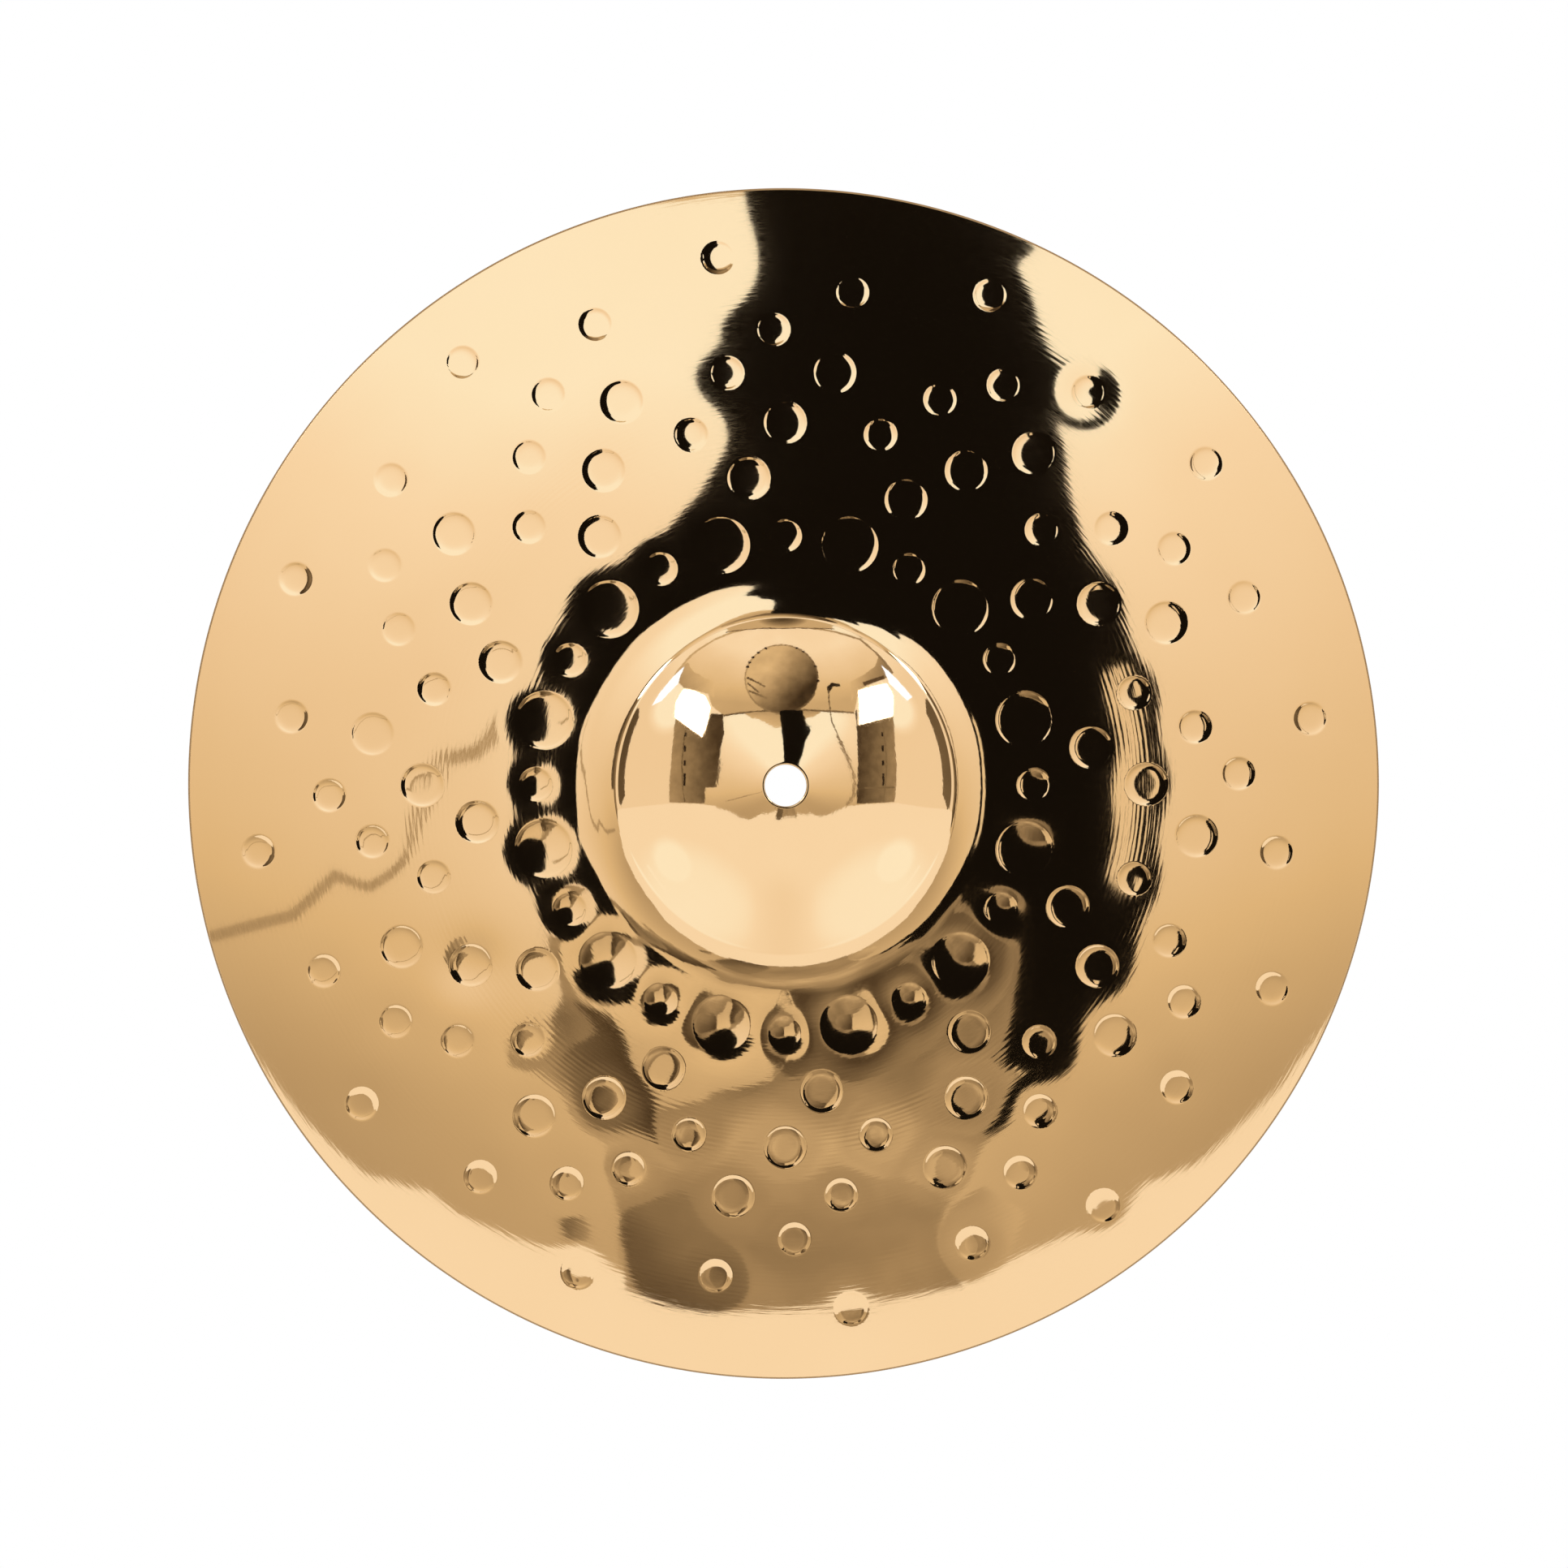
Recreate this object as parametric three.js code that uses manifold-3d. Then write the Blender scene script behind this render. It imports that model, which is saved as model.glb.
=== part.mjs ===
// A 14 inch hammered crash cymbal, in millimetres, +Z up.
// The origin is the centre of the circle that the rim rests on, below the rod hole.
// The bell, the bow and the rim are regions of one bronze disc, so there is one solid.
import * as THREE from "three";
import { mergeVertices } from "three/addons/utils/BufferGeometryUtils.js";
import Module from "manifold-3d";

const wasm = await Module();
wasm.setup();

const { sin, cos, asin, PI } = Math;
const radians = THREE.MathUtils.degToRad;

// Driving dimensions. A radius is in plan, from the rod hole's axis.
const RIM_RADIUS = 177.8;          // 14 inch diameter
const ROD_HOLE_RADIUS = 6.15;      // clears the sleeve on a standard stand rod
const FELT_SEAT_RADIUS = 8.0;      // outer radius of the flat around the rod hole
const CROWN_RADIUS = 21.3;         // where the steeper crown around the hole meets the domed bell
const BELL_SPHERE_RADIUS = 73.0;   // curvature of the domed bell
const BELL_FOOT_RADIUS = 49.3;     // where the bell turns into the flare
const FLARE_RADIUS = 50.8;         // where the tight turn at the bell's foot ends
const BOW_START_RADIUS = 63.0;     // where the hollow flare meets the bow
const CROWN_SLOPE = radians(10.5); // slope of the crown, carried on to the axis
const FLARE_SLOPE = radians(17);
const BOW_START_SLOPE = radians(1);
const BOW_RIM_SLOPE = radians(14);
const THICKNESS_AT_BELL = 1.1;
const THICKNESS_AT_RIM = 0.8;

// Steps of the lathe around the axis and along each region of the profile.
const LATHE_SEGMENTS = 60;
const BELL_STEPS = 5;
const FOOT_STEPS = 2;
const FLARE_STEPS = 2;
const BOW_STEPS = 5;

// The hammer has a round face. Its blows repeat twelve times around the cymbal.
const HAMMER_FACE_RADIUS = 64;
const HAMMER_SECTORS = 12;
const PUNCH_SEGMENTS = 8;
const MARK_RADIUS = { small: 4.9, medium: 6.3, large: 8.5 };

// One sector of hammer marks: distance from the axis and turn from the sector's start.
const SECTOR_MARKS = [
  { size: "small", radius: 73.8, degrees: 0 },
  { size: "large", radius: 73.8, degrees: 15 },
  { size: "medium", radius: 91.7, degrees: 6.8 },
  { size: "medium", radius: 107.6, degrees: 0 },
  { size: "small", radius: 107.6, degrees: 14.8 },
  { size: "small", radius: 123.4, degrees: 8 },
  { size: "medium", radius: 123.4, degrees: 22.9 },
  { size: "small", radius: 135.4, degrees: 1.3 },
  { size: "small", radius: 147.9, degrees: 22.2 },
  { size: "small", radius: 157.9, degrees: 7.2 },
];

// The upper face in section is five arcs that meet without a corner: the crown, the domed
// bell, the tight turn at its foot, the hollow flare and the gently domed bow.
const CROWN_END_SLOPE = asin(CROWN_RADIUS / BELL_SPHERE_RADIUS);
const BELL_FOOT_SLOPE = asin(BELL_FOOT_RADIUS / BELL_SPHERE_RADIUS);
const SECTION_ARCS = [
  { start: 0, end: CROWN_RADIUS, startSlope: CROWN_SLOPE, endSlope: CROWN_END_SLOPE },
  { start: CROWN_RADIUS, end: BELL_FOOT_RADIUS, startSlope: CROWN_END_SLOPE, endSlope: BELL_FOOT_SLOPE },
  { start: BELL_FOOT_RADIUS, end: FLARE_RADIUS, startSlope: BELL_FOOT_SLOPE, endSlope: FLARE_SLOPE },
  { start: FLARE_RADIUS, end: BOW_START_RADIUS, startSlope: FLARE_SLOPE, endSlope: BOW_START_SLOPE },
  { start: BOW_START_RADIUS, end: RIM_RADIUS, startSlope: BOW_START_SLOPE, endSlope: BOW_RIM_SLOPE },
];

// Along an arc the sine of the slope changes evenly with the radius.
const sineChange = (arc) => (sin(arc.endSlope) - sin(arc.startSlope)) / (arc.end - arc.start);

function slopeOnArc(arc, radius) {
  return asin(sin(arc.startSlope) + sineChange(arc) * (radius - arc.start));
}

function slopeAt(radius) {
  const arc = SECTION_ARCS.find(({ end }) => radius <= end);
  return slopeOnArc(arc, radius);
}

// How far the upper face lies below the point where the crown would meet the axis.
function dropAt(radius) {
  let drop = 0;
  for (const arc of SECTION_ARCS.filter(({ start }) => start < radius)) {
    const reachedSlope = slopeOnArc(arc, Math.min(radius, arc.end));
    drop += (cos(arc.startSlope) - cos(reachedSlope)) / sineChange(arc);
  }
  return drop;
}

function thicknessAt(radius) {
  return THREE.MathUtils.lerp(THICKNESS_AT_BELL, THICKNESS_AT_RIM, radius / RIM_RADIUS);
}

// The rim is rounded, so its middle line stops half a thickness inside the full radius.
const LAST_RADIUS = RIM_RADIUS - THICKNESS_AT_RIM / 2;
const PEAK_HEIGHT =
  dropAt(LAST_RADIUS) + thicknessAt(LAST_RADIUS) * cos(slopeAt(LAST_RADIUS));

const topPoint = (radius) => new THREE.Vector2(radius, PEAK_HEIGHT - dropAt(radius));

function undersidePoint(radius) {
  const slope = slopeAt(radius);
  const inward = new THREE.Vector2(-sin(slope), -cos(slope)).multiplyScalar(thicknessAt(radius));
  return topPoint(radius).add(inward);
}

function radiiBetween(start, end, steps) {
  return Array.from({ length: steps }, (_, step) => start + ((end - start) * step) / steps);
}

// Radii at the profile's points, from the felt seat to the rim.
function profileRadii() {
  return [
    ...radiiBetween(FELT_SEAT_RADIUS, BELL_FOOT_RADIUS, BELL_STEPS),
    ...radiiBetween(BELL_FOOT_RADIUS, FLARE_RADIUS, FOOT_STEPS),
    ...radiiBetween(FLARE_RADIUS, BOW_START_RADIUS, FLARE_STEPS),
    ...radiiBetween(BOW_START_RADIUS, LAST_RADIUS, BOW_STEPS),
    LAST_RADIUS,
  ];
}

// The closed section of the disc: underside outwards, round the rim, and back along the top.
function sectionPoints() {
  const radii = profileRadii();
  const top = radii.map(topPoint);
  const underside = radii.map(undersidePoint);
  const seatTop = new THREE.Vector2(ROD_HOLE_RADIUS, top[0].y);
  const seatUnderside = new THREE.Vector2(ROD_HOLE_RADIUS, underside[0].y);
  const rimMiddle = top.at(-1).clone().lerp(underside.at(-1), 0.5);
  const rimTip = new THREE.Vector2(RIM_RADIUS, rimMiddle.y);
  return [seatUnderside, ...underside, rimTip, ...top.reverse(), seatTop, seatUnderside.clone()];
}

// A lathe turns about Y, so its result is stood up to turn about Z.
function latheAboutZ(points, segments) {
  return new THREE.LatheGeometry(points, segments).rotateX(PI / 2);
}

function toSolid(geometry) {
  const bare = geometry.clone();
  bare.deleteAttribute("normal");
  bare.deleteAttribute("uv");
  const merged = mergeVertices(bare, 1e-4);
  return new wasm.Manifold(new wasm.Mesh({
    numProp: 3,
    vertProperties: new Float32Array(merged.attributes.position.array),
    triVerts: new Uint32Array(merged.index.array),
  }));
}

function toGeometry(solid) {
  const mesh = solid.getMesh();
  const geometry = new THREE.BufferGeometry();
  geometry.setAttribute("position", new THREE.BufferAttribute(mesh.vertProperties, 3));
  geometry.setIndex(new THREE.BufferAttribute(mesh.triVerts, 1));
  geometry.computeVertexNormals();
  return geometry;
}

// The part of the hammer's face that sinks in, with its deepest point below the origin.
function punchGeometry(markRadius) {
  const rimAngle = asin(markRadius / HAMMER_FACE_RADIUS);
  const centreHeight = HAMMER_FACE_RADIUS * cos(rimAngle);
  const facePoint = (angle) => new THREE.Vector2(
    HAMMER_FACE_RADIUS * sin(angle),
    centreHeight - HAMMER_FACE_RADIUS * cos(angle),
  );
  const face = [0, 0.5 * rimAngle, rimAngle, 1.3 * rimAngle].map(facePoint);
  face[0].x = 0;
  const back = new THREE.Vector2(0, face.at(-1).y);
  return latheAboutZ([...face, back], PUNCH_SEGMENTS);
}

// Stands a punch on the upper face, square to it.
function placeOnTop(geometry, radius, angle) {
  const { y: height } = topPoint(radius);
  return geometry.clone().rotateY(slopeAt(radius)).translate(radius, 0, height).rotateZ(angle);
}

function hammerPunches() {
  const punches = [];
  for (let sector = 0; sector < HAMMER_SECTORS; sector += 1) {
    for (const mark of SECTOR_MARKS) {
      const angle = (2 * PI * sector) / HAMMER_SECTORS + radians(mark.degrees);
      const punch = punchGeometry(MARK_RADIUS[mark.size]);
      punches.push(toSolid(placeOnTop(punch, mark.radius, angle)));
    }
  }
  return punches;
}

function makeCymbal() {
  const disc = toSolid(latheAboutZ(sectionPoints(), LATHE_SEGMENTS));
  const hammered = hammerPunches().reduce((solid, punch) => solid.subtract(punch), disc);
  const bronze = new THREE.MeshStandardMaterial({
    color: 0xe6bd84,
    roughness: 0.12,
    metalness: 1.0,
  });
  const cymbal = new THREE.Mesh(toGeometry(hammered), bronze);
  cymbal.name = "cymbal";
  return cymbal;
}

const crashCymbal = new THREE.Group();
crashCymbal.add(makeCymbal());

export default crashCymbal;
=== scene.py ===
"""The looks of the 14 inch hammered crash cymbal, on a white light table under a photo studio."""
import math
import random

import bmesh
import bpy
import numpy as np
from mathutils import Matrix, Vector
from mathutils.geometry import tessellate_polygon


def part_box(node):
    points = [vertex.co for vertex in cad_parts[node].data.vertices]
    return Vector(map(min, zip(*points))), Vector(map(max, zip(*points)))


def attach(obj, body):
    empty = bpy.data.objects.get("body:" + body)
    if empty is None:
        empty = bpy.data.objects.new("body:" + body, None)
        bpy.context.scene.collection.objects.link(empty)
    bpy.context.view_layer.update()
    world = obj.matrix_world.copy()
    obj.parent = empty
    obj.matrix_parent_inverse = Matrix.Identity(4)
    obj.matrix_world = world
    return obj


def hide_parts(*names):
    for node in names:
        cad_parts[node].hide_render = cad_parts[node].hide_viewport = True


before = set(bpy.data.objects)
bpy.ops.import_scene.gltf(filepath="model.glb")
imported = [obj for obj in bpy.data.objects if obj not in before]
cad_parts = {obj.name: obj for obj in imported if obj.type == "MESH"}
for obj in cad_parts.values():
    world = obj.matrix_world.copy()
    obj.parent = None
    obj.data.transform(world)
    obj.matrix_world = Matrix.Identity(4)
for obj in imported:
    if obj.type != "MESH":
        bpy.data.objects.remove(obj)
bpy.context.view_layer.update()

MM = 0.001
low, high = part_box("cymbal")
RIM_RADIUS = (high.x - low.x) / 2 / MM

# The shape of the disc, in millimetres, as its CAD node has it.
ROD_HOLE_RADIUS = 6.15
CROWN_RADIUS = 21.3
BELL_SPHERE_RADIUS = 73.0
BELL_FOOT_RADIUS = 49.3
FLARE_RADIUS = 50.8
BOW_START_RADIUS = 63.0
CROWN_SLOPE = math.radians(10.5)
FLARE_SLOPE = math.radians(17.0)
BOW_START_SLOPE = math.radians(1.0)
BOW_RIM_SLOPE = math.radians(14.0)
THICKNESS_AT_BELL = 1.1
THICKNESS_AT_RIM = 0.8

# The hole's edge is rounded, and the rim is cut at a slant: for each ring round the edge,
# how far inside the full radius it lies, and which share of the thickness it is down. One
# more ring just inside a face's last one keeps the crease between face and cut narrow.
HOLE_ROUNDING = 0.3
RIM_BEVEL = 0.55
RIM_UNDERCUT = 0.2
RIM_RINGS = [(0.50, 0.08), (0.36, 0.30), (0.20, 0.54), (0.06, 0.78), (0.0, 0.92)]
RIM_CREASE = 0.03

# Hammer marks: radius of the dent, then depth and reach of the metal that sinks around it.
# Each dent has a shallow floor and a narrow wall that steepens up to the dent's edge. The
# hammer struck the row next to the bell harder, most of all on one half of the disc.
MARK_SIZES = {
    "small": (4.9, 0.035, 5.5),
    "medium": (6.3, 0.045, 6.8),
    "bell_small": (4.9, 0.20, 4.2),
    "bell_large": (8.5, 0.33, 6.4),
}
MARK_WALL_SLOPE = math.tan(math.radians(14.0))
MARK_WALL_WIDTH = 0.95
WALL_FORCES = (0.75, 1.2)
BELL_ROW_RADIUS = 73.8
BELL_ROW_SINK = 1.1
BELL_ROW_SINK_SWING = 0.7
BELL_ROW_WALL = 0.65
BELL_ROW_WALL_LOSS = 0.4
DEEP_HALF_MIDDLE = math.radians(268.0)
DEEP_HALF_START = 0.5
DEEP_HALF_SINK = 2.5
HAMMER_SECTORS = 12
SECTOR_MARKS = [
    ("bell_small", BELL_ROW_RADIUS, 0.0),
    ("bell_large", BELL_ROW_RADIUS, 15.0),
    ("medium", 91.7, 6.8),
    ("medium", 107.6, 0.0),
    ("small", 107.6, 14.8),
    ("small", 123.4, 8.0),
    ("medium", 123.4, 22.9),
    ("small", 135.4, 1.3),
    ("small", 147.9, 22.2),
    ("small", 157.9, 7.2),
]
# A few marks, as sector and number in the sector, that were struck harder: how much deeper.
HARD_MARKS = {(1, 8): 7.5, (2, 2): 5.0, (7, 3): 5.0}
MARK_SCATTER_MM = 0.2
MARK_SCATTER_DEGREES = 0.15
# A mark is left out beyond this many reaches, and wipes out the lathe's rings this far in.
MARK_FAR = 3.5
RINGS_LOST_WITHIN = 1.5

# Rings that the lathe's tool left in the bow, deeper in bands where the tool chattered:
# the middle, half width and strength of each band.
LATHE_PITCH = 1.35
LATHE_DEPTH = 0.0019
LATHE_BANDS = [(78.0, 7.0, 0.45), (106.0, 7.5, 1.5), (149.0, 8.0, 0.45)]
LATHE_FAINT = 0.2
LATHE_FADE_IN = 8.0
LATHE_FADE_OUT = 6.0


# ---------------------------------------------------------------- shape of the disc

CROWN_END_SLOPE = math.asin(CROWN_RADIUS / BELL_SPHERE_RADIUS)
BELL_FOOT_SLOPE = math.asin(BELL_FOOT_RADIUS / BELL_SPHERE_RADIUS)

# Each arc of the section: where it starts and ends, and the slope at both ends.
SECTION_ARCS = [
    (0.0, CROWN_RADIUS, CROWN_SLOPE, CROWN_END_SLOPE),
    (CROWN_RADIUS, BELL_FOOT_RADIUS, CROWN_END_SLOPE, BELL_FOOT_SLOPE),
    (BELL_FOOT_RADIUS, FLARE_RADIUS, BELL_FOOT_SLOPE, FLARE_SLOPE),
    (FLARE_RADIUS, BOW_START_RADIUS, FLARE_SLOPE, BOW_START_SLOPE),
    (BOW_START_RADIUS, RIM_RADIUS, BOW_START_SLOPE, BOW_RIM_SLOPE),
]


def drop_and_slope(radius):
    """How far the upper face lies below the axis point at each radius, and its slope there."""
    drop = np.zeros_like(radius)
    sine = np.full_like(radius, math.sin(CROWN_SLOPE))
    for start, end, start_slope, end_slope in SECTION_ARCS:
        curve = (end - start) / (math.sin(end_slope) - math.sin(start_slope))
        reached = np.clip(radius, start, end)
        arc_sine = math.sin(start_slope) + (reached - start) / curve
        drop += curve * (math.cos(start_slope) - np.sqrt(1 - arc_sine**2))
        sine = np.where(radius >= start, arc_sine, sine)
    return drop, np.arcsin(sine)


def thickness(radius):
    return THICKNESS_AT_BELL + (THICKNESS_AT_RIM - THICKNESS_AT_BELL) * radius / RIM_RADIUS


def hammer_marks():
    """Every mark's place, force and size, with the small scatter of a hammering machine."""
    scatter = random.Random(14)
    marks = []
    for sector in range(HAMMER_SECTORS):
        for number, (size, radius, degrees) in enumerate(SECTOR_MARKS):
            degrees += 360 / HAMMER_SECTORS * sector
            degrees += scatter.uniform(-MARK_SCATTER_DEGREES, MARK_SCATTER_DEGREES)
            distance = radius + scatter.uniform(-MARK_SCATTER_MM, MARK_SCATTER_MM)
            wall_force = scatter.uniform(*WALL_FORCES)
            sink_force = HARD_MARKS.get((sector, number), wall_force)
            angle = math.radians(degrees)
            deep_half = math.cos(angle - DEEP_HALF_MIDDLE)
            if radius == BELL_ROW_RADIUS:
                sink_force = BELL_ROW_SINK + BELL_ROW_SINK_SWING * deep_half
                wall_force = BELL_ROW_WALL - BELL_ROW_WALL_LOSS * max(0.0, deep_half)
            elif deep_half > DEEP_HALF_START:
                sink_force *= DEEP_HALF_SINK
            place = (distance * math.cos(angle), distance * math.sin(angle))
            marks.append((place, wall_force, sink_force, *MARK_SIZES[size]))
    return marks


def hammered_depth(x, y):
    """How far the hammer pushed the metal down, and which share of the lathe's rings it left."""
    depth = np.zeros_like(x)
    rings_left = np.ones_like(x)
    for place, wall_force, sink_force, dent_radius, sink, reach in hammer_marks():
        distance_squared = (x - place[0]) ** 2 + (y - place[1]) ** 2
        near = np.flatnonzero(distance_squared < (MARK_FAR * reach) ** 2)
        distance = np.sqrt(distance_squared[near])
        depth[near] += sink_force * sink * np.exp(-0.5 * (distance / reach) ** 2)
        inside = np.maximum(dent_radius - distance, 0)
        wall = 1 - np.exp(-inside / MARK_WALL_WIDTH)
        depth[near] += wall_force * MARK_WALL_SLOPE * MARK_WALL_WIDTH * wall
        rings_left[near] *= np.clip(1 - inside / RINGS_LOST_WITHIN, 0.1, 1)
    return depth, rings_left


def lathe_rings(x, y, radius):
    """The shallow rings of the lathe's tool, which come and go around the disc."""
    angle = np.arctan2(y, x)
    strength = LATHE_FAINT
    for middle, half_width, band_strength in LATHE_BANDS:
        strength += band_strength * np.exp(-((radius - middle) / half_width) ** 4)
    strength *= 0.75 + 0.25 * np.sin(5 * angle + 0.31 * radius)
    fade_in = np.clip((radius - BOW_START_RADIUS) / LATHE_FADE_IN, 0, 1)
    fade_out = np.clip((RIM_RADIUS - radius) / LATHE_FADE_OUT, 0, 1)
    strength *= fade_in * fade_out
    wander = 1.5 * np.sin(3 * angle + 0.05 * radius) + 1.1 * np.sin(0.9 * radius)
    return LATHE_DEPTH * strength * np.sin(2 * math.pi * radius / LATHE_PITCH + wander)


def top_heights(x, y):
    radius = np.hypot(x, y)
    drop, _ = drop_and_slope(radius)
    depth, rings_left = hammered_depth(x, y)
    return rings_left * lathe_rings(x, y, radius) - drop - depth


# ---------------------------------------------------------------- mesh of the disc

FINE_START_RADIUS = 89.0
BELL_RING_POINTS = 640
BELL_STEP = 0.6
CREASE_STEP = 0.1
BOW_STEP = 0.36


def ring_radii(start, end, step):
    count = max(1, round((end - start) / step))
    return [start + (end - start) * index / count for index in range(count)]


def face_rings(coarseness, last_radius):
    """Radius and number of points of each ring of a face, from the hole's edge out to the rim."""
    points = BELL_RING_POINTS // coarseness
    rings = []
    for start, end, step, factor in (
        (ROD_HOLE_RADIUS + HOLE_ROUNDING, BELL_FOOT_RADIUS, BELL_STEP, 1),
        (BELL_FOOT_RADIUS, FLARE_RADIUS, CREASE_STEP, 1),
        (FLARE_RADIUS, FINE_START_RADIUS, BOW_STEP, 2),
        (FINE_START_RADIUS, last_radius, BOW_STEP, 4),
    ):
        rings += [(radius, factor * points) for radius in ring_radii(start, end, step * coarseness)]
    return rings + [(last_radius - RIM_CREASE, 4 * points), (last_radius, 4 * points)]


def ring_points(radius, count, height):
    turn = 2 * math.pi * np.arange(count) / count
    return np.column_stack([radius * np.cos(turn), radius * np.sin(turn), np.full(count, height)])


def face(coarseness, last_radius):
    """A face's points, ring by ring, and where its rings end. A coarser face has fewer of both."""
    rings = face_rings(coarseness, last_radius)
    points = np.concatenate([ring_points(radius, count, 0.0) for radius, count in rings])
    points[:, 2] = top_heights(points[:, 0], points[:, 1])
    ends = np.cumsum([count for _, count in rings])[:-1]
    return points, ends


def build_rings():
    """All rings of the closed disc, up the hole, over the top, round the rim and back below.

    The range that comes with them says which rings start a strip of the cut rim.
    """
    points, ends = face(1, RIM_RADIUS - RIM_BEVEL)
    top = np.split(points, ends)

    points, ends = face(2, RIM_RADIUS - RIM_UNDERCUT)
    radius = np.hypot(points[:, 0], points[:, 1])
    _, slope = drop_and_slope(radius)
    points[:, 2] -= thickness(radius) / np.cos(slope)
    below = np.split(points, ends)

    upper, lower = top[-1][:, 2].mean(), below[-1][:, 2].mean()
    rim = [ring_points(RIM_RADIUS - inset, len(top[-1]), upper + (lower - upper) * share)
           for inset, share in RIM_RINGS]

    upper, lower = top[0][:, 2].mean(), below[0][:, 2].mean()
    hole_heights = ((lower + HOLE_ROUNDING / 3, 0.0), (upper - HOLE_ROUNDING, 0.0),
                    (upper - HOLE_ROUNDING / 3, HOLE_ROUNDING / 3))
    hole = [ring_points(ROD_HOLE_RADIUS + inset, BELL_RING_POINTS, height)
            for height, inset in hole_heights]

    rings = hole + top + rim + below[::-1]
    floor = min(ring[:, 2].min() for ring in rings)
    for ring in rings:
        ring[:, 2] -= floor
    first_cut = len(hole) + len(top) - 1
    return rings, range(first_cut, first_cut + len(rim) + 1)


def stitch(first, first_count, second, second_count):
    """Quads between two rings of the same count, or triangles where one has twice the points."""
    if second_count < first_count:
        return [faces[:, ::-1] for faces in stitch(second, second_count, first, first_count)]
    index = np.arange(first_count)
    after = (index + 1) % first_count
    if first_count == second_count:
        return [np.column_stack([first + index, second + index, second + after, first + after])]
    even, odd, following = 2 * index, 2 * index + 1, 2 * after
    return [
        np.column_stack([first + index, second + even, second + odd]),
        np.column_stack([first + index, second + odd, first + after]),
        np.column_stack([first + after, second + odd, second + following]),
    ]


def disc_mesh():
    rings, rim_strips = build_rings()
    counts = [len(ring) for ring in rings]
    starts = np.concatenate([[0], np.cumsum(counts)[:-1]])
    faces = []
    slots = []
    for index in range(len(rings)):
        following = (index + 1) % len(rings)
        strip = stitch(starts[index], counts[index], starts[following], counts[following])
        faces += strip
        slots += [np.full(len(part), int(index in rim_strips)) for part in strip]

    points = np.concatenate(rings) * MM
    corners = np.concatenate([part.ravel() for part in faces])
    sizes = np.concatenate([np.full(len(part), part.shape[1]) for part in faces])
    face_starts = np.concatenate([[0], np.cumsum(sizes)[:-1]])
    mesh = bpy.data.meshes.new("hammered_cymbal")
    mesh.vertices.add(len(points))
    mesh.vertices.foreach_set("co", points.astype(np.float32).ravel())
    mesh.loops.add(len(corners))
    mesh.loops.foreach_set("vertex_index", corners.astype(np.int32))
    mesh.polygons.add(len(sizes))
    mesh.polygons.foreach_set("loop_start", face_starts.astype(np.int32))
    mesh.polygons.foreach_set("material_index", np.concatenate(slots).astype(np.int32))
    mesh.update(calc_edges=True)
    mesh.validate()
    mesh.shade_smooth()
    return mesh


# ---------------------------------------------------------------- sky directions

def sky_point(across, up):
    """X and Y of the unit direction so many degrees right of and above the zenith."""
    tilt = math.radians(math.hypot(across, up))
    heading = math.atan2(up, across)
    return math.sin(tilt) * math.cos(heading), math.sin(tilt) * math.sin(heading)


def overhead(across, up, distance):
    """The point seen from the cymbal so many degrees right of and above the zenith."""
    x, y = sky_point(across, up)
    return Vector((x, y, math.cos(math.radians(math.hypot(across, up))))) * distance


# ---------------------------------------------------------------- materials

class Nodes:
    """Short calls for building a node tree."""

    def __init__(self, material):
        material.use_nodes = True
        self.tree = material.node_tree
        self.tree.nodes.clear()

    def add(self, kind, inputs=None, **settings):
        node = self.tree.nodes.new(kind)
        for name, value in settings.items():
            setattr(node, name, value)
        for name, value in (inputs or {}).items():
            self.feed(node, name, value)
        return node

    def feed(self, node, name, value):
        if isinstance(value, bpy.types.NodeSocket):
            self.tree.links.new(value, node.inputs[name])
        else:
            node.inputs[name].default_value = value

    def math(self, operation, first, second=0.0):
        return self.add("ShaderNodeMath", {0: first, 1: second}, operation=operation).outputs[0]

    def weighted(self, constant, *terms):
        """constant plus each socket times its weight."""
        total = constant
        for socket, weight in terms:
            total = self.math("ADD", self.math("MULTIPLY", socket, weight), total)
        return total

    def noise(self, vector, scale, detail):
        inputs = {"Vector": vector, "Scale": scale, "Detail": detail}
        return self.add("ShaderNodeTexNoise", inputs).outputs["Fac"]

    def spread(self, value, start, end, low_value=0.0, high_value=1.0, blend="LINEAR"):
        inputs = {0: value, 1: start, 2: end, 3: low_value, 4: high_value}
        return self.add("ShaderNodeMapRange", inputs, interpolation_type=blend).outputs[0]

    def ramp(self, value, stops):
        node = self.add("ShaderNodeValToRGB", {0: value})
        elements = node.color_ramp.elements
        while len(elements) < len(stops):
            elements.new(0.5)
        for element, (place, colour) in zip(elements, stops):
            element.position = place
            element.color = (*colour, 1)
        return node.outputs["Color"]

    def glow(self, direction, aside, place, reach, core):
        """From 0 at reach degrees to 1 at core degrees from a place and its mirror image."""
        parts = self.add("ShaderNodeSeparateXYZ", {0: direction})
        mirrored_direction = self.add("ShaderNodeCombineXYZ", {
            0: aside, 1: parts.outputs["Y"], 2: parts.outputs["Z"]}).outputs[0]
        middle = overhead(*place, 1.0)
        likeness = self.add("ShaderNodeVectorMath", {0: mirrored_direction, 1: middle},
                            operation="DOT_PRODUCT").outputs["Value"]
        edges = (math.cos(math.radians(reach)), math.cos(math.radians(core)))
        return self.spread(likeness, *edges, blend="SMOOTHSTEP")

    def finish(self, shader):
        self.add("ShaderNodeOutputMaterial", {"Surface": shader.outputs[0]})

    def finish_glowing(self, tone):
        """A surface that gives off its own light, in the warm colour of its tone."""
        colour = self.ramp(tone, WARM_TONES)
        self.finish(self.add("ShaderNodeEmission", {"Color": colour, "Strength": 1.0}))


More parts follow.
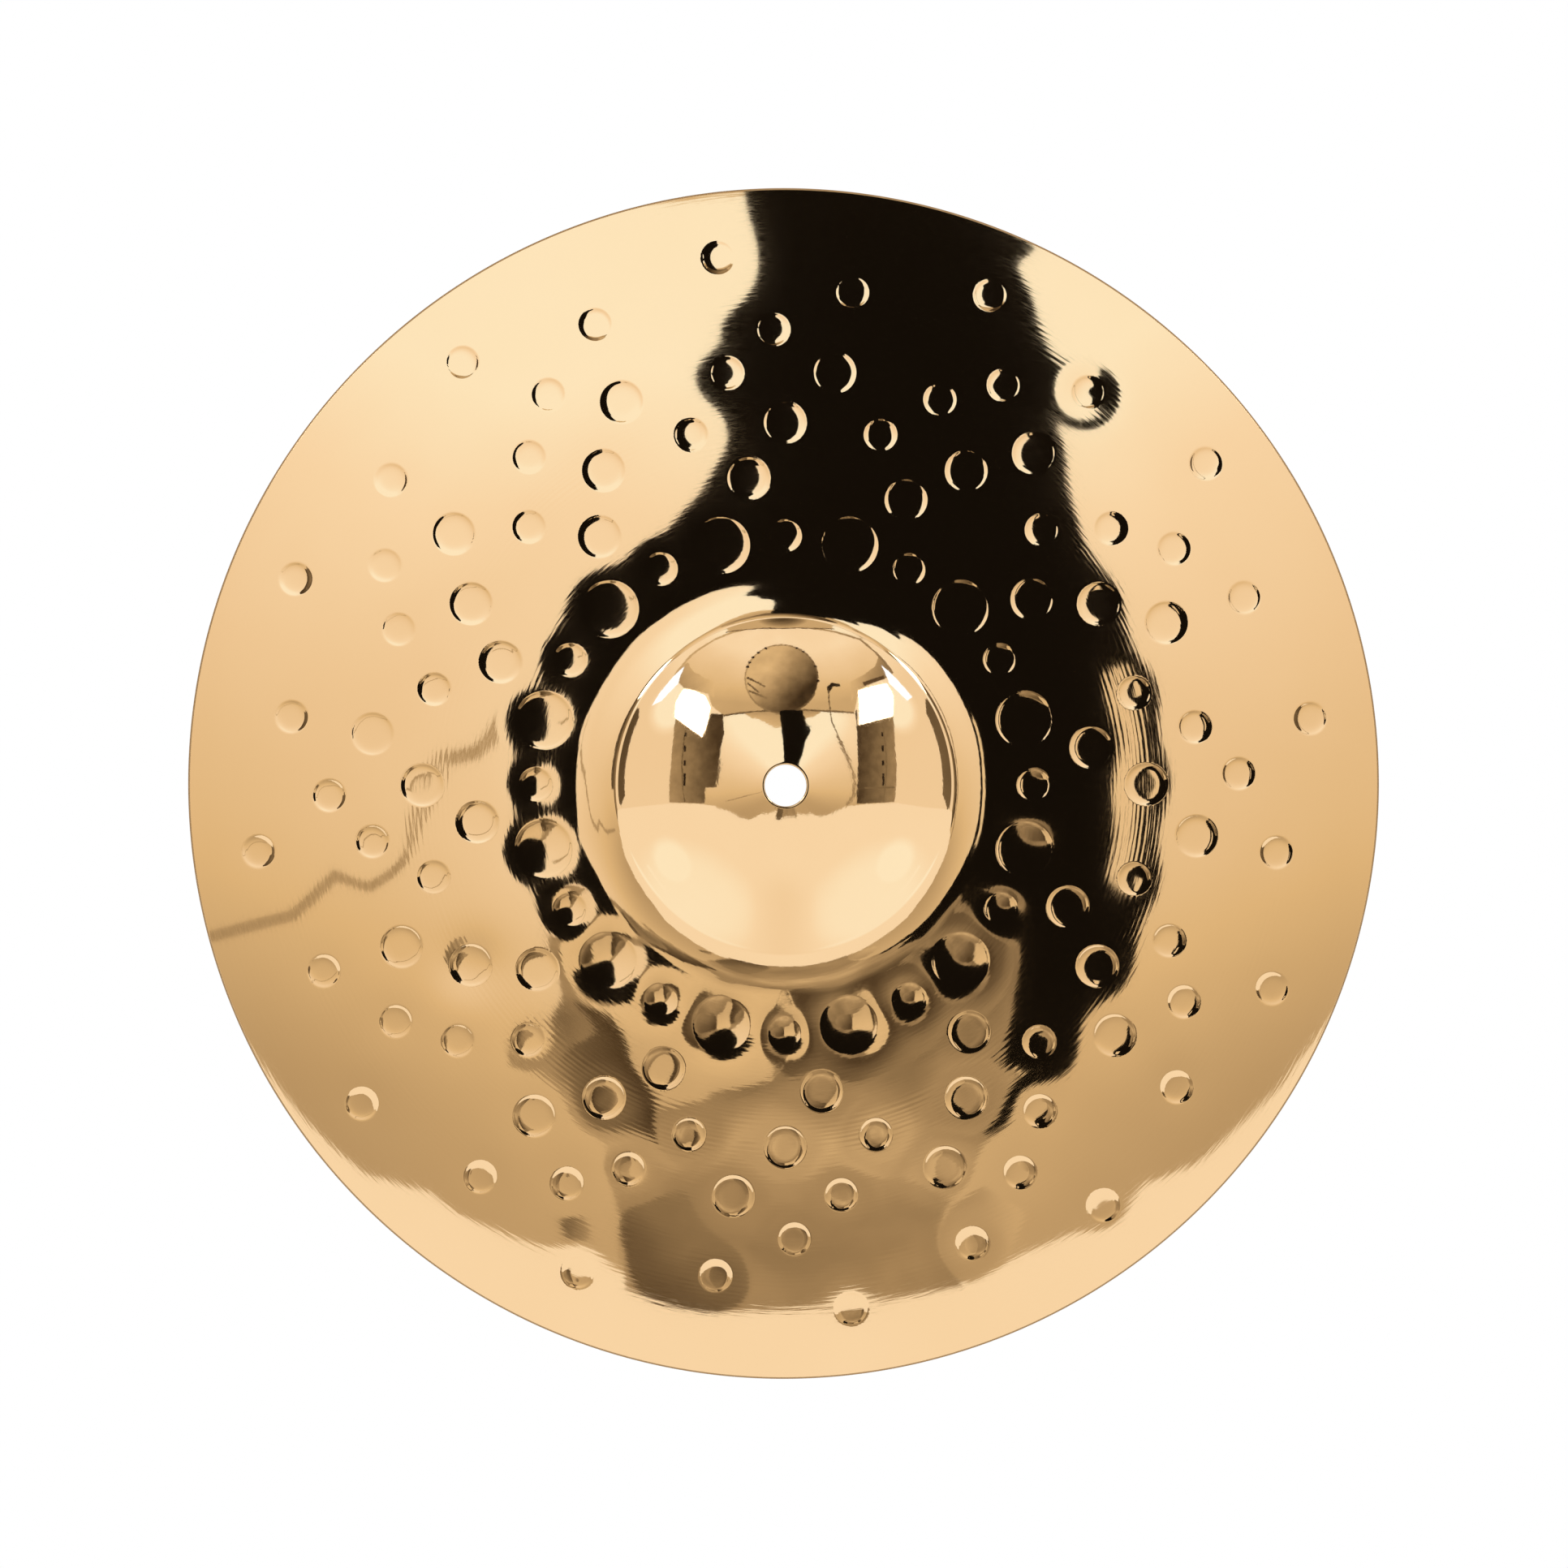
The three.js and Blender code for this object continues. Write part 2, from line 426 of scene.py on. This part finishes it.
def bronze_material():
    """Mirror-polished bronze with the fine, uneven rings of the lathe."""
    material = bpy.data.materials.new("polished_bronze")
    nodes = Nodes(material)
    place = nodes.add("ShaderNodeTexCoord").outputs["Object"]
    parts = nodes.add("ShaderNodeSeparateXYZ", {0: place})
    x, y = parts.outputs["X"], parts.outputs["Y"]
    squares = nodes.math("ADD", nodes.math("MULTIPLY", x, x), nodes.math("MULTIPLY", y, y))
    radius = nodes.math("SQRT", squares)
    turn_x = nodes.math("DIVIDE", x, radius)
    turn_y = nodes.math("DIVIDE", y, radius)

    def ring_noise(rings_per_metre, around, detail):
        vector = nodes.add("ShaderNodeCombineXYZ", {
            0: nodes.math("MULTIPLY", radius, rings_per_metre),
            1: nodes.math("MULTIPLY", turn_x, around),
            2: nodes.math("MULTIPLY", turn_y, around),
        }).outputs[0]
        return nodes.noise(vector, 1.0, detail)

    tool_rings = ring_noise(1300.0, 14.0, 2.0)
    hairlines = ring_noise(4200.0, 60.0, 1.0)
    clouds = nodes.noise(place, 22.0, 3.0)
    colour = nodes.ramp(clouds, [(0.3, (0.925, 0.655, 0.378)), (0.7, (0.935, 0.668, 0.392))])
    rough = nodes.spread(hairlines, 0.3, 0.7, 0.02, 0.05)
    rings = nodes.add("ShaderNodeBump", {"Strength": 1.0, "Distance": 3.0e-6, "Height": tool_rings})
    hairs = nodes.add("ShaderNodeBump", {
        "Strength": 1.0, "Distance": 3.5e-7, "Height": hairlines, "Normal": rings.outputs[0]})
    nodes.finish(nodes.add("ShaderNodeBsdfPrincipled", {
        "Base Color": colour, "Metallic": 1.0, "Roughness": rough, "Normal": hairs.outputs[0]}))
    return material


def cut_edge_material():
    """The unpolished bronze of the cut rim, in a darker colour than the polished face."""
    material = bpy.data.materials.new("cut_edge_bronze")
    nodes = Nodes(material)
    nodes.finish(nodes.add("ShaderNodeBsdfPrincipled", {
        "Base Color": (0.80, 0.56, 0.32, 1), "Metallic": 1.0, "Roughness": 0.5}))
    return material


def light_material(name, colour, strength):
    material = bpy.data.materials.new(name)
    nodes = Nodes(material)
    nodes.finish(nodes.add("ShaderNodeEmission", {"Color": (*colour, 1), "Strength": strength}))
    return material


BLACK = (0.0065, 0.0055, 0.0045)
# The colour of a studio surface for each tone from 0, black, to 1, in full light.
WARM_TONES = [
    (0.0, BLACK),
    (0.12, (0.075, 0.055, 0.035)),
    (0.25, (0.175, 0.140, 0.095)),
    (0.45, (0.40, 0.33, 0.23)),
    (0.70, (0.785, 0.674, 0.488)),
    (0.85, (0.92, 0.845, 0.735)),
    (0.94, (1.01, 0.99, 0.95)),
    (1.0, (1.06, 1.17, 1.25)),
]


def wash_material(name, start, end, start_tone, end_tone, mottle=0.0, grain=14.0):
    """A flat-lit surface whose tone runs from one sky direction to another, in soft patches."""
    material = bpy.data.materials.new(name)
    nodes = Nodes(material)
    place = nodes.add("ShaderNodeTexCoord").outputs["Object"]
    direction = nodes.add("ShaderNodeVectorMath", {0: place}, operation="NORMALIZE").outputs[0]
    parts = nodes.add("ShaderNodeSeparateXYZ", {0: direction})
    start_x, start_y = sky_point(*start)
    run_x, run_y = (b - a for a, b in zip(sky_point(*start), sky_point(*end)))
    length_squared = run_x**2 + run_y**2
    along = nodes.weighted(-(start_x * run_x + start_y * run_y) / length_squared,
                           (parts.outputs["X"], run_x / length_squared),
                           (parts.outputs["Y"], run_y / length_squared))
    tone = nodes.spread(along, 0.0, 1.0, start_tone, end_tone)
    patches = nodes.noise(direction, grain, 3.0)
    tone = nodes.weighted(-mottle / 2, (patches, mottle), (tone, 1.0))
    nodes.finish_glowing(tone)
    return material


def room_material():
    """Walls and ceiling: pale towards the back corners, dimmer in front, and dark below."""
    material = bpy.data.materials.new("studio_room")
    nodes = Nodes(material)
    place = nodes.add("ShaderNodeTexCoord").outputs["Object"]
    direction = nodes.add("ShaderNodeVectorMath", {0: place}, operation="NORMALIZE").outputs[0]
    parts = nodes.add("ShaderNodeSeparateXYZ", {0: direction})
    x, y, z = (parts.outputs[name] for name in "XYZ")
    aside = nodes.math("ABSOLUTE", x)
    near_aside = nodes.math("MINIMUM", aside, 0.5)
    near_y = nodes.math("MINIMUM", y, 0.5)
    patches = nodes.noise(direction, 5.0, 3.0)
    level = nodes.weighted(0.895, (near_y, 0.37), (near_aside, -0.31), (patches, 0.03))
    front_shade = nodes.spread(y, 0.0, -0.3, 0.0, 0.14, "SMOOTHSTEP")
    lit_wall = nodes.glow(direction, aside, (24, 18), 19.0, 5.0)
    level = nodes.weighted(0.0, (level, 1.0), (front_shade, -1.0), (lit_wall, 0.05))
    side_wall = nodes.spread(aside, 0.6, 0.78, blend="SMOOTHSTEP")
    level = nodes.add("ShaderNodeMix", {0: side_wall, 2: level, 3: 0.87}).outputs[0]
    halo = nodes.glow(direction, aside, (56, 38), 13.0, 2.0)
    level = nodes.weighted(0.0, (level, 1.0), (halo, 0.16))
    below = nodes.spread(z, 0.02, -0.02)
    level = nodes.add("ShaderNodeMix", {0: below, 2: level, 3: 0.36}).outputs[0]
    nodes.finish_glowing(level)
    return material


def board_material():
    """The white front board: brighter where the lamps fall on it, at the left and the right."""
    material = bpy.data.materials.new("front_board")
    nodes = Nodes(material)
    place = nodes.add("ShaderNodeTexCoord").outputs["Object"]
    direction = nodes.add("ShaderNodeVectorMath", {0: place}, operation="NORMALIZE").outputs[0]
    parts = nodes.add("ShaderNodeSeparateXYZ", {0: direction})
    aside = nodes.math("ABSOLUTE", parts.outputs["X"])
    spot = nodes.glow(direction, aside, (56, -38), 11.0, 3.0)
    pool = nodes.glow(direction, aside, (44, -58), 30.0, 12.0)
    middle = nodes.spread(aside, 0.28, 0.0, blend="SMOOTHSTEP")
    low = nodes.spread(parts.outputs["Y"], -0.6, -0.85, blend="SMOOTHSTEP")
    dim = nodes.math("MULTIPLY", middle, low)
    patches = nodes.noise(direction, 4.0, 2.0)
    level = nodes.weighted(0.935, (spot, 0.05), (pool, 0.045), (dim, -0.05), (patches, 0.01))
    nodes.finish_glowing(level)
    return material


# ---------------------------------------------------------------- studio

ROOM_RADIUS = 120.0
BACK, MIDDLE, FRONT, NEAR = 112.0, 75.0, 50.0, 36.0


def new_object(name, mesh, *materials):
    thing = bpy.data.objects.new(name, mesh)
    bpy.context.scene.collection.objects.link(thing)
    for material in materials:
        mesh.materials.append(material)
    return thing


def only_in_reflections(thing):
    """Marks a studio piece as staging that nothing but a mirror shows."""
    thing.visible_camera = False
    thing.visible_diffuse = False
    thing.visible_transmission = False
    thing.visible_volume_scatter = False
    thing.visible_shadow = False


def smooth_outline(points, steps=5):
    """A closed curve through the points."""
    result = []
    count = len(points)
    for index in range(count):
        a, b, c, d = (Vector(points[(index + shift) % count]) for shift in (-1, 0, 1, 2))
        for step in range(steps):
            t = step / steps
            result.append(0.5 * (2 * b + (c - a) * t + (2 * a - 5 * b + 4 * c - d) * t * t
                                 + (3 * b - a - 3 * c + d) * t**3))
    return result


def studio_piece(name, outline, triangles, distance, material):
    mesh = bpy.data.meshes.new(name)
    mesh.from_pydata([overhead(point[0], point[1], distance) for point in outline], [], triangles)
    only_in_reflections(new_object(name, mesh, material))


def card(name, outline, distance, material, smooth=False):
    """A flat-lit studio card that fills an outline given in degrees from the zenith."""
    flat = smooth_outline(outline) if smooth else [Vector(point) for point in outline]
    triangles = tessellate_polygon([[point.to_3d() for point in flat]])
    studio_piece(name, flat, triangles, distance, material)


def ribbon(name, points, width, distance, material):
    """A thin line through the points, in degrees from the zenith."""
    outline = []
    for index, point in enumerate(points):
        before = Vector(points[max(index - 1, 0)])
        after = Vector(points[min(index + 1, len(points) - 1)])
        side = (after - before).normalized().orthogonal() * width / 2
        outline += [Vector(point) - side, Vector(point) + side]
    strips = [(i, i + 1, i + 3, i + 2) for i in range(0, len(outline) - 2, 2)]
    studio_piece(name, outline, strips, distance, material)


def ellipse(centre, half_width, half_height, count=40):
    turns = [2 * math.pi * index / count for index in range(count)]
    return [(centre[0] + half_width * math.cos(turn), centre[1] + half_height * math.sin(turn))
            for turn in turns]


def horizon_band(name, first, last, inner_tilt, outer_tilt, material):
    """A band just above the horizon, between two headings in degrees, that tapers at its ends."""
    count = 60
    outline = []
    for index in range(count + 1):
        share = index / count
        heading = math.radians(first + (last - first) * share)
        taper = min(1.0, 5 * share, 5 * (1 - share))
        inner = outer_tilt - (outer_tilt - inner_tilt) * taper
        for tilt in (inner, outer_tilt):
            outline.append((tilt * math.cos(heading), tilt * math.sin(heading)))
    strips = [(i, i + 1, i + 3, i + 2) for i in range(0, len(outline) - 2, 2)]
    studio_piece(name, outline, strips, FRONT, material)


def make_room():
    mesh = bpy.data.meshes.new("studio_room")
    shell = bmesh.new()
    bmesh.ops.create_uvsphere(shell, u_segments=64, v_segments=32, radius=ROOM_RADIUS)
    shell.to_mesh(mesh)
    shell.free()
    only_in_reflections(new_object("studio_room", mesh, room_material()))


def make_camera_rig():
    """The black camera and its arm, straight above the cymbal."""
    outline = [
        (-1.4, 35), (-1.4, 31), (-0.9, 27.5), (-0.8, 25), (-1.2, 23.2), (-2.2, 21.5), (-2.3, 19.5),
        (-3, 18), (-2.8, 16.4), (-1.9, 14), (-1.5, 11.5), (-2, 9), (-2.7, 7), (-4.6, 5.5), (-5.8, 3.2),
        (-6.1, 0), (-6, -2.6), (-5.3, -4.3), (-3.5, -5.1), (-1.5, -4.9), (0.5, -4.2), (3.2, -3.4),
        (5.3, -3.9), (7.2, -5.2), (8, -7), (9, -10.8), (8.4, -11.7), (9.6, -12.1), (10.8, -12.4),
        (10.2, -13.6), (8.9, -15.4), (9.9, -15.7), (11.7, -14.3), (13.3, -12.7), (14.1, -11),
        (15.1, -9.3), (15.8, -7.4), (16.4, -4.6), (16.6, -0.5), (16.3, 2.6), (15.4, 5), (14.5, 7.4),
        (13.7, 9.3), (13.2, 12), (13.4, 15.5), (14.2, 16.8), (15.4, 17.8), (15.6, 19.2), (14.5, 20.6),
        (13.9, 21.8), (13.5, 24.6), (13, 26.6), (14.2, 28.5), (11.8, 30.4), (9.2, 33), (8.2, 35)]
    card("camera_rig", outline, FRONT, light_material("black_rig", BLACK, 1.0), smooth=True)
    gap = [(13.2, 3.6), (13.1, 0), (13.2, -4.4), (14.7, -4.8), (15.1, 0), (14.7, 3.8)]
    card("rig_gap", gap, NEAR, light_material("rig_gap", (0.86, 0.76, 0.60), 1.0))


def make_front_board():
    """The large white board in front of the table, with a bright tube on each side."""
    edge = [
        (-88, -14), (-70, -11.5), (-56, -9.8), (-40, -9.6), (-33, -10.5), (-29, -14), (-25, -18.6),
        (-21.5, -21.4), (-17.5, -21.8), (-13.5, -23.8), (-9, -24.9), (-5, -26.2), (-2, -26.6),
        (2.6, -26.3), (10.3, -25.4), (14, -24.3), (17.2, -23), (19.2, -21.4), (22.5, -20.6),
        (27, -17), (30, -13.5), (33, -10.5), (40, -9.6), (56, -9.6), (70, -12), (88, -14)]
    foot = [(80, -45), (45, -78), (0, -88), (-45, -78), (-80, -45)]
    card("front_board", edge + foot, BACK, board_material())
    tube = light_material("board_tube", (1.06, 1.14, 1.20), 1.0)
    for side in (-1, 1):
        arc = [(69.5 * side, -42), (67 * side, -46), (63.5 * side, -51), (60 * side, -55)]
        ribbon(f"board_tube_{side + 2}", arc, 1.3, MIDDLE, tube)


# Each piece of the unlit equipment: its name and outline, the directions and tones between
# which it is washed, the strength of its patches, and its distance.
EQUIPMENT = [
    ("equipment",
     [(-5, -4.6), (0, -3.6), (6, -3.2), (8.2, -5), (9.4, -11), (11.4, -14.4), (9.2, -16.6),
      (8.3, -19.6), (8.9, -22.6), (10, -27.5), (0, -28.5), (-7.8, -27.5), (-7.4, -22.6),
      (-6.6, -18.6), (-7, -15.8), (-9.6, -13.5), (-9.4, -11.2), (-7.5, -8)],
     (0, -8), (0, -15), 0.36, 0.50, 0.42, BACK),
    ("equipment_low",
     [(-6.4, -17.6), (-1.5, -17.1), (4.6, -17.8), (8, -18.6), (8.6, -22.6), (9.4, -27.4),
      (0, -28), (-7, -27.4), (-7.2, -22.6)],
     (0, -17), (0, -21), 0.48, 0.42, 0.22, BACK * 0.98),
    ("pale_bag",
     [(-4.8, -5.4), (-4.3, -9.6), (-4.2, -12.2), (-3, -12.8), (-1.9, -11.2), (0.1, -10.4),
      (0.6, -9.6), (0.5, -4.6)],
     (-3, -6), (-3, -11), 0.70, 0.62, 0.12, MIDDLE),
    ("dark_strap",
     [(-6, -7), (-4.9, -6.8), (-4.3, -9.2), (-4.4, -13.6), (-4.3, -15.6), (-6.3, -15),
      (-8.8, -13.2), (-10.6, -12.5), (-10, -11.3), (-7.9, -10.9), (-5.9, -9.4)],
     (-4.6, -11), (-9.6, -12), 0.12, 0.46, 0.36, MIDDLE),
    ("dark_bag",
     [(0.7, -5.4), (4.2, -4.6), (7.2, -6.6), (6.3, -9.4), (3.7, -10.1), (1.3, -10)],
     (1.4, -7), (5.4, -9.6), 0.14, 0.42, 0.20, MIDDLE),
    ("dark_case",
     [(-6.8, -20.4), (-3.7, -19), (-2.5, -21.2), (-1.5, -26.1), (-3.3, -27.6), (-6.5, -27),
      (-7.3, -24)],
     (-6.4, -25.6), (-2.4, -21), 0.18, 0.38, 0.20, MIDDLE),
    ("dark_foot",
     [(-10.2, -21.6), (-9.3, -21.4), (-9, -23), (-9.5, -24.2), (-10.1, -23.6)],
     (-10.1, -22.6), (-8.9, -22.6), 0.24, 0.50, 0.0, MIDDLE),
    ("tan_stool",
     [(8.7, -20), (11.1, -19.6), (12.5, -22), (11.3, -24.8), (9.7, -25.6)],
     (8.7, -22.6), (12.2, -22.6), 0.48, 0.62, 0.14, MIDDLE),
]


def make_equipment():
    """The unlit equipment in front of the camera, between it and the front board."""
    for name, outline, start, end, start_tone, end_tone, mottle, distance in EQUIPMENT:
        material = wash_material(name, start, end, start_tone, end_tone, mottle)
        card(name, outline, distance, material, smooth=True)


def make_back_wall():
    """The wall behind the table: its seam, and the shadow under the ceiling's edge."""
    seam = [(-7.7, 1.4), (-10, 0.4), (-12.6, 0), (-14.6, -2.2), (-15.4, -3.8), (-18.2, -5.3),
            (-20.6, -5), (-24, -7.3), (-26, -7.8), (-30.4, -9)]
    ribbon("wall_seam", seam, 0.6, MIDDLE, wash_material("seam", (-8, 0), (-30, 0), 0.50, 0.46))
    shadow = [(-20, 34.3), (-15, 31.2), (-5, 30.6), (8, 31.8), (14, 31.8), (18, 34.4), (0, 34.8)]
    card("wall_shadow", shadow, BACK * 0.97,
         wash_material("wall_shadow", (0, 31), (0, 35.5), 0.66, 0.46))


def make_ceiling(line):
    """The ceiling over the back wall, with its near edge, far border and dimmer corners."""
    outline = [
        (-29, 32.8), (-18, 34.2), (0, 35), (20, 34.8), (34, 34.2), (37, 46), (52, 53), (56, 56),
        (49, 65), (40, 73.5), (25, 77.5), (0, 79), (-25, 77.5), (-35, 74), (-47, 66), (-56, 54),
        (-50, 48), (-37, 44), (-35, 38)]
    card("ceiling", outline, BACK, wash_material("ceiling", (0, 38), (0, 64), 0.60, 0.93, 0.10, 4.0))
    border = [(-56, 54), (-47, 66), (-35, 74), (-25, 78), (0, 79.4), (25, 78), (40, 73.8),
              (49, 65.4), (56, 56)]
    ribbon("ceiling_border", border, 1.2, MIDDLE,
           wash_material("border", (0, 79), (50, 60), 0.58, 0.34))
    ribbon("ceiling_line", outline[:5], 0.9, MIDDLE, line)
    right = [(33, 40), (37, 46), (52, 53), (56, 56), (49, 65), (46.5, 59), (40, 54), (33, 50)]
    card("ceiling_corner_right", right, BACK * 0.9,
         wash_material("ceiling_corner", (34, 48), (54, 57), 0.66, 0.36, 0.10))
    left = [(-34, 42), (-37, 44), (-50, 48), (-56, 54), (-49, 62), (-44, 56), (-34, 54)]
    card("ceiling_corner_left", left, BACK * 0.9,
         wash_material("ceiling_corner_left", (-34, 50), (-53, 53), 0.72, 0.50, 0.10))


def make_frames(line, dark):
    """The dark frames on both sides of the back wall, with their joints and slots."""
    left = [
        (-53.5, 32), (-46, 28), (-38, 24), (-35.5, 34), (-29.2, 33.5), (-28.6, 24), (-31, 12),
        (-33.2, -1.6), (-37.4, -1.8), (-37.8, -9.4), (-56, -9.2), (-55.4, 6), (-54.4, 19)]
    card("frame_left", left, MIDDLE,
         wash_material("frame_left", (-31, 0), (-54, 0), 0.12, 0.46, 0.18))
    right = [
        (35.5, 28), (54, 34), (54.4, 18), (53.8, -9), (34.6, -9.4), (35.2, 6), (35.2, 20),
        (34.6, 35), (35.5, 36)]
    card("frame_right", right, MIDDLE,
         wash_material("frame_right", (35, 0), (54, 0), 0.12, 0.42, 0.18))
    ribbon("frame_shelf", [(38.5, -2), (54, -1.8)], 0.8, FRONT, line)
    for side, top in ((-1, 26), (1, 30)):
        across = 48 * side
        ribbon(f"frame_joint_{side + 2}", [(across, -9), (across, top)], 0.5, FRONT, line)
        for index, (up, length) in enumerate(((2, 6), (10, 2.5), (17, 3), (24, 2))):
            slot = [(across, up - length / 2), (across, up + length / 2)]
            ribbon(f"frame_slot_{side + 2}_{index}", slot, 1.1, NEAR, dark)


def make_cable(dark):
    """The cable that hangs from a hook on the back wall."""
    route = [(27.5, 47.8), (24, 48.6), (21.8, 46.5), (21.8, 40), (22.8, 30), (25.8, 23), (31, 14),
             (33.8, 6), (34.6, 0), (34, -6), (32, -11)]
    ribbon("cable", route, 0.55, FRONT, wash_material("cable", (23, 46), (32, 0), 0.12, 0.42))
    hook = [(28, 47.4), (27.2, 48.8), (23.6, 49.4), (21, 47), (21.2, 44.5), (22.6, 44.8), (24, 47.2)]
    card("cable_hook", hook, FRONT, dark)


def make_round_reflector():
    """A round folding reflector that leans against the back wall."""
    centre, radius = (-1.0, 51.6), 17.8
    ribbon("reflector_edge", ellipse(centre, radius, radius)[:38], 0.8, FRONT,
           wash_material("reflector_edge", (-10, 66), (8, 42), 0.50, 0.22, 0.30, 30.0))
    cloth = wash_material("reflector_cloth", (-5, 60), (7, 41), 0.66, 0.10, 0.26, 8.0)
    card("round_reflector", ellipse(centre, radius, radius), FRONT * 1.1, cloth)
    clip = light_material("reflector_clip", (0.03, 0.02, 0.015), 1.0)
    for index, degrees in enumerate((64, 52, 20, -5, 116, 130, 142, 152, 160)):
        heading = math.radians(degrees)
        place = (centre[0] + radius * math.cos(heading), centre[1] + radius * math.sin(heading))
        card(f"reflector_clip_{index}", ellipse(place, 0.9, 0.7, 8), NEAR, clip)
    cloth_fold = wash_material("reflector_fold", (-18, 52), (-8, 44), 0.16, 0.36)
    folds = [((-18, 52), (-9, 47)), ((-17.6, 49), (-12, 44)), ((-17, 45), (-8, 41))]
    for index, fold in enumerate(folds):
        ribbon(f"reflector_fold_{index}", fold, 0.9, NEAR, cloth_fold)


def make_lamps(bracket):
    """The two softboxes, with a bracket over the right one."""
    lamp = light_material("lamp", (1.0, 1.0, 1.0), 6.0)
    left = [(-54, 33), (-53.5, 41), (-50, 47), (-44, 46), (-38.5, 43), (-35.6, 37), (-37, 29),
            (-39.4, 22.5), (-46, 27)]
    right = [(36.6, 45.5), (44, 48), (52, 50), (55, 44), (54, 33), (41, 29.6), (36.4, 28.4)]
    card("softbox_left", left, NEAR, lamp)
    card("softbox_right", right, NEAR, lamp)
    ribbon("lamp_bracket", [(39.5, 49), (45, 51.2), (51, 53.4)], 2.0, NEAR, bracket)


def make_windows():
    """The two windows near the horizon."""
    window = light_material("window", (1.0, 1.35, 2.2), 1.3)
    left = [(-67, 39.5), (-57, 53.5), (-50.5, 59.5), (-53.5, 50), (-61.5, 42)]
    right = [(50, 60), (57, 53.5), (65.5, 43.5), (62.5, 41.5), (53.5, 50)]
    card("window_left", left, FRONT, window)
    card("window_right", right, FRONT, window)


def make_skirting(bracket):
    """The dark skirting just above the horizon, and the border over it at the back."""
    skirting = wash_material("skirting", (-60, 60), (60, 30), 0.18, 0.24, 0.14, 3.0)
    bands = [("right", -14, 36, 81.5), ("top", 34, 148, 86.0), ("left", 146, 194, 81.5)]
    for side, first, last, inner_tilt in bands:
        horizon_band(f"skirting_{side}", first, last, inner_tilt, 89.5, skirting)
    near_edge = [(-29.5, 77.9), (-15, 78.9), (0, 79), (14, 79.1), (26.7, 79.4)]
    far_edge = [(22, 83), (12, 86), (0, 87), (-14, 86), (-24, 83)]
    card("top_border", near_edge + far_edge, MIDDLE,
         wash_material("top_border", (0, 85), (0, 79.5), 0.10, 0.60))
    ribbon("top_border_line", near_edge, 0.5, FRONT, bracket)


def make_floor():
    """The light table. The bronze mirrors the dark lower half of the room in its place."""
    mesh = bpy.data.meshes.new("light_table")
    reach = 40.0
    corners = [(-reach, -reach, 0), (reach, -reach, 0), (reach, reach, 0), (-reach, reach, 0)]
    mesh.from_pydata(corners, [], [(0, 1, 2, 3)])
    table = new_object("light_table", mesh, light_material("light_table", (1, 1, 1), 1.0))
    table.visible_glossy = False


def make_world():
    world = bpy.data.worlds.new("studio")
    world.use_nodes = True
    world.node_tree.nodes["Background"].inputs["Color"].default_value = (1, 1, 1, 1)
    bpy.context.scene.world = world


def make_camera():
    """Almost straight above, by a touch up and to the left, with a long lens."""
    camera_height = 2.5
    view_width = 0.4682
    place = Vector((-0.029, 0.030, camera_height))
    data = bpy.data.cameras.new("camera")
    data.sensor_width = 36.0
    data.lens = data.sensor_width * camera_height / view_width
    data.clip_end = 100.0
    camera = bpy.data.objects.new("camera", data)
    back = place.normalized()
    right = Vector((0, 1, 0)).cross(back).normalized()
    up = back.cross(right)
    camera.matrix_world = Matrix.Translation(place) @ Matrix((right, up, back)).transposed().to_4x4()
    bpy.context.scene.collection.objects.link(camera)
    bpy.context.scene.camera = camera


line_material = wash_material("dark_line", (-30, 0), (30, 0), 0.20, 0.28)
slot_material = light_material("frame_slot", (0.02, 0.014, 0.01), 1.0)
bracket_material = light_material("lamp_bracket", (0.10, 0.07, 0.045), 1.0)

make_world()
make_room()
make_camera_rig()
make_front_board()
make_equipment()
make_back_wall()
make_ceiling(line_material)
make_frames(line_material, slot_material)
make_cable(slot_material)
make_round_reflector()
make_lamps(bracket_material)
make_windows()
make_skirting(bracket_material)
make_floor()
make_camera()

cymbal = new_object("hammered_cymbal", disc_mesh(), bronze_material(), cut_edge_material())
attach(cymbal, "root")
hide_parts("cymbal")

bpy.context.scene.view_settings.view_transform = "Standard"
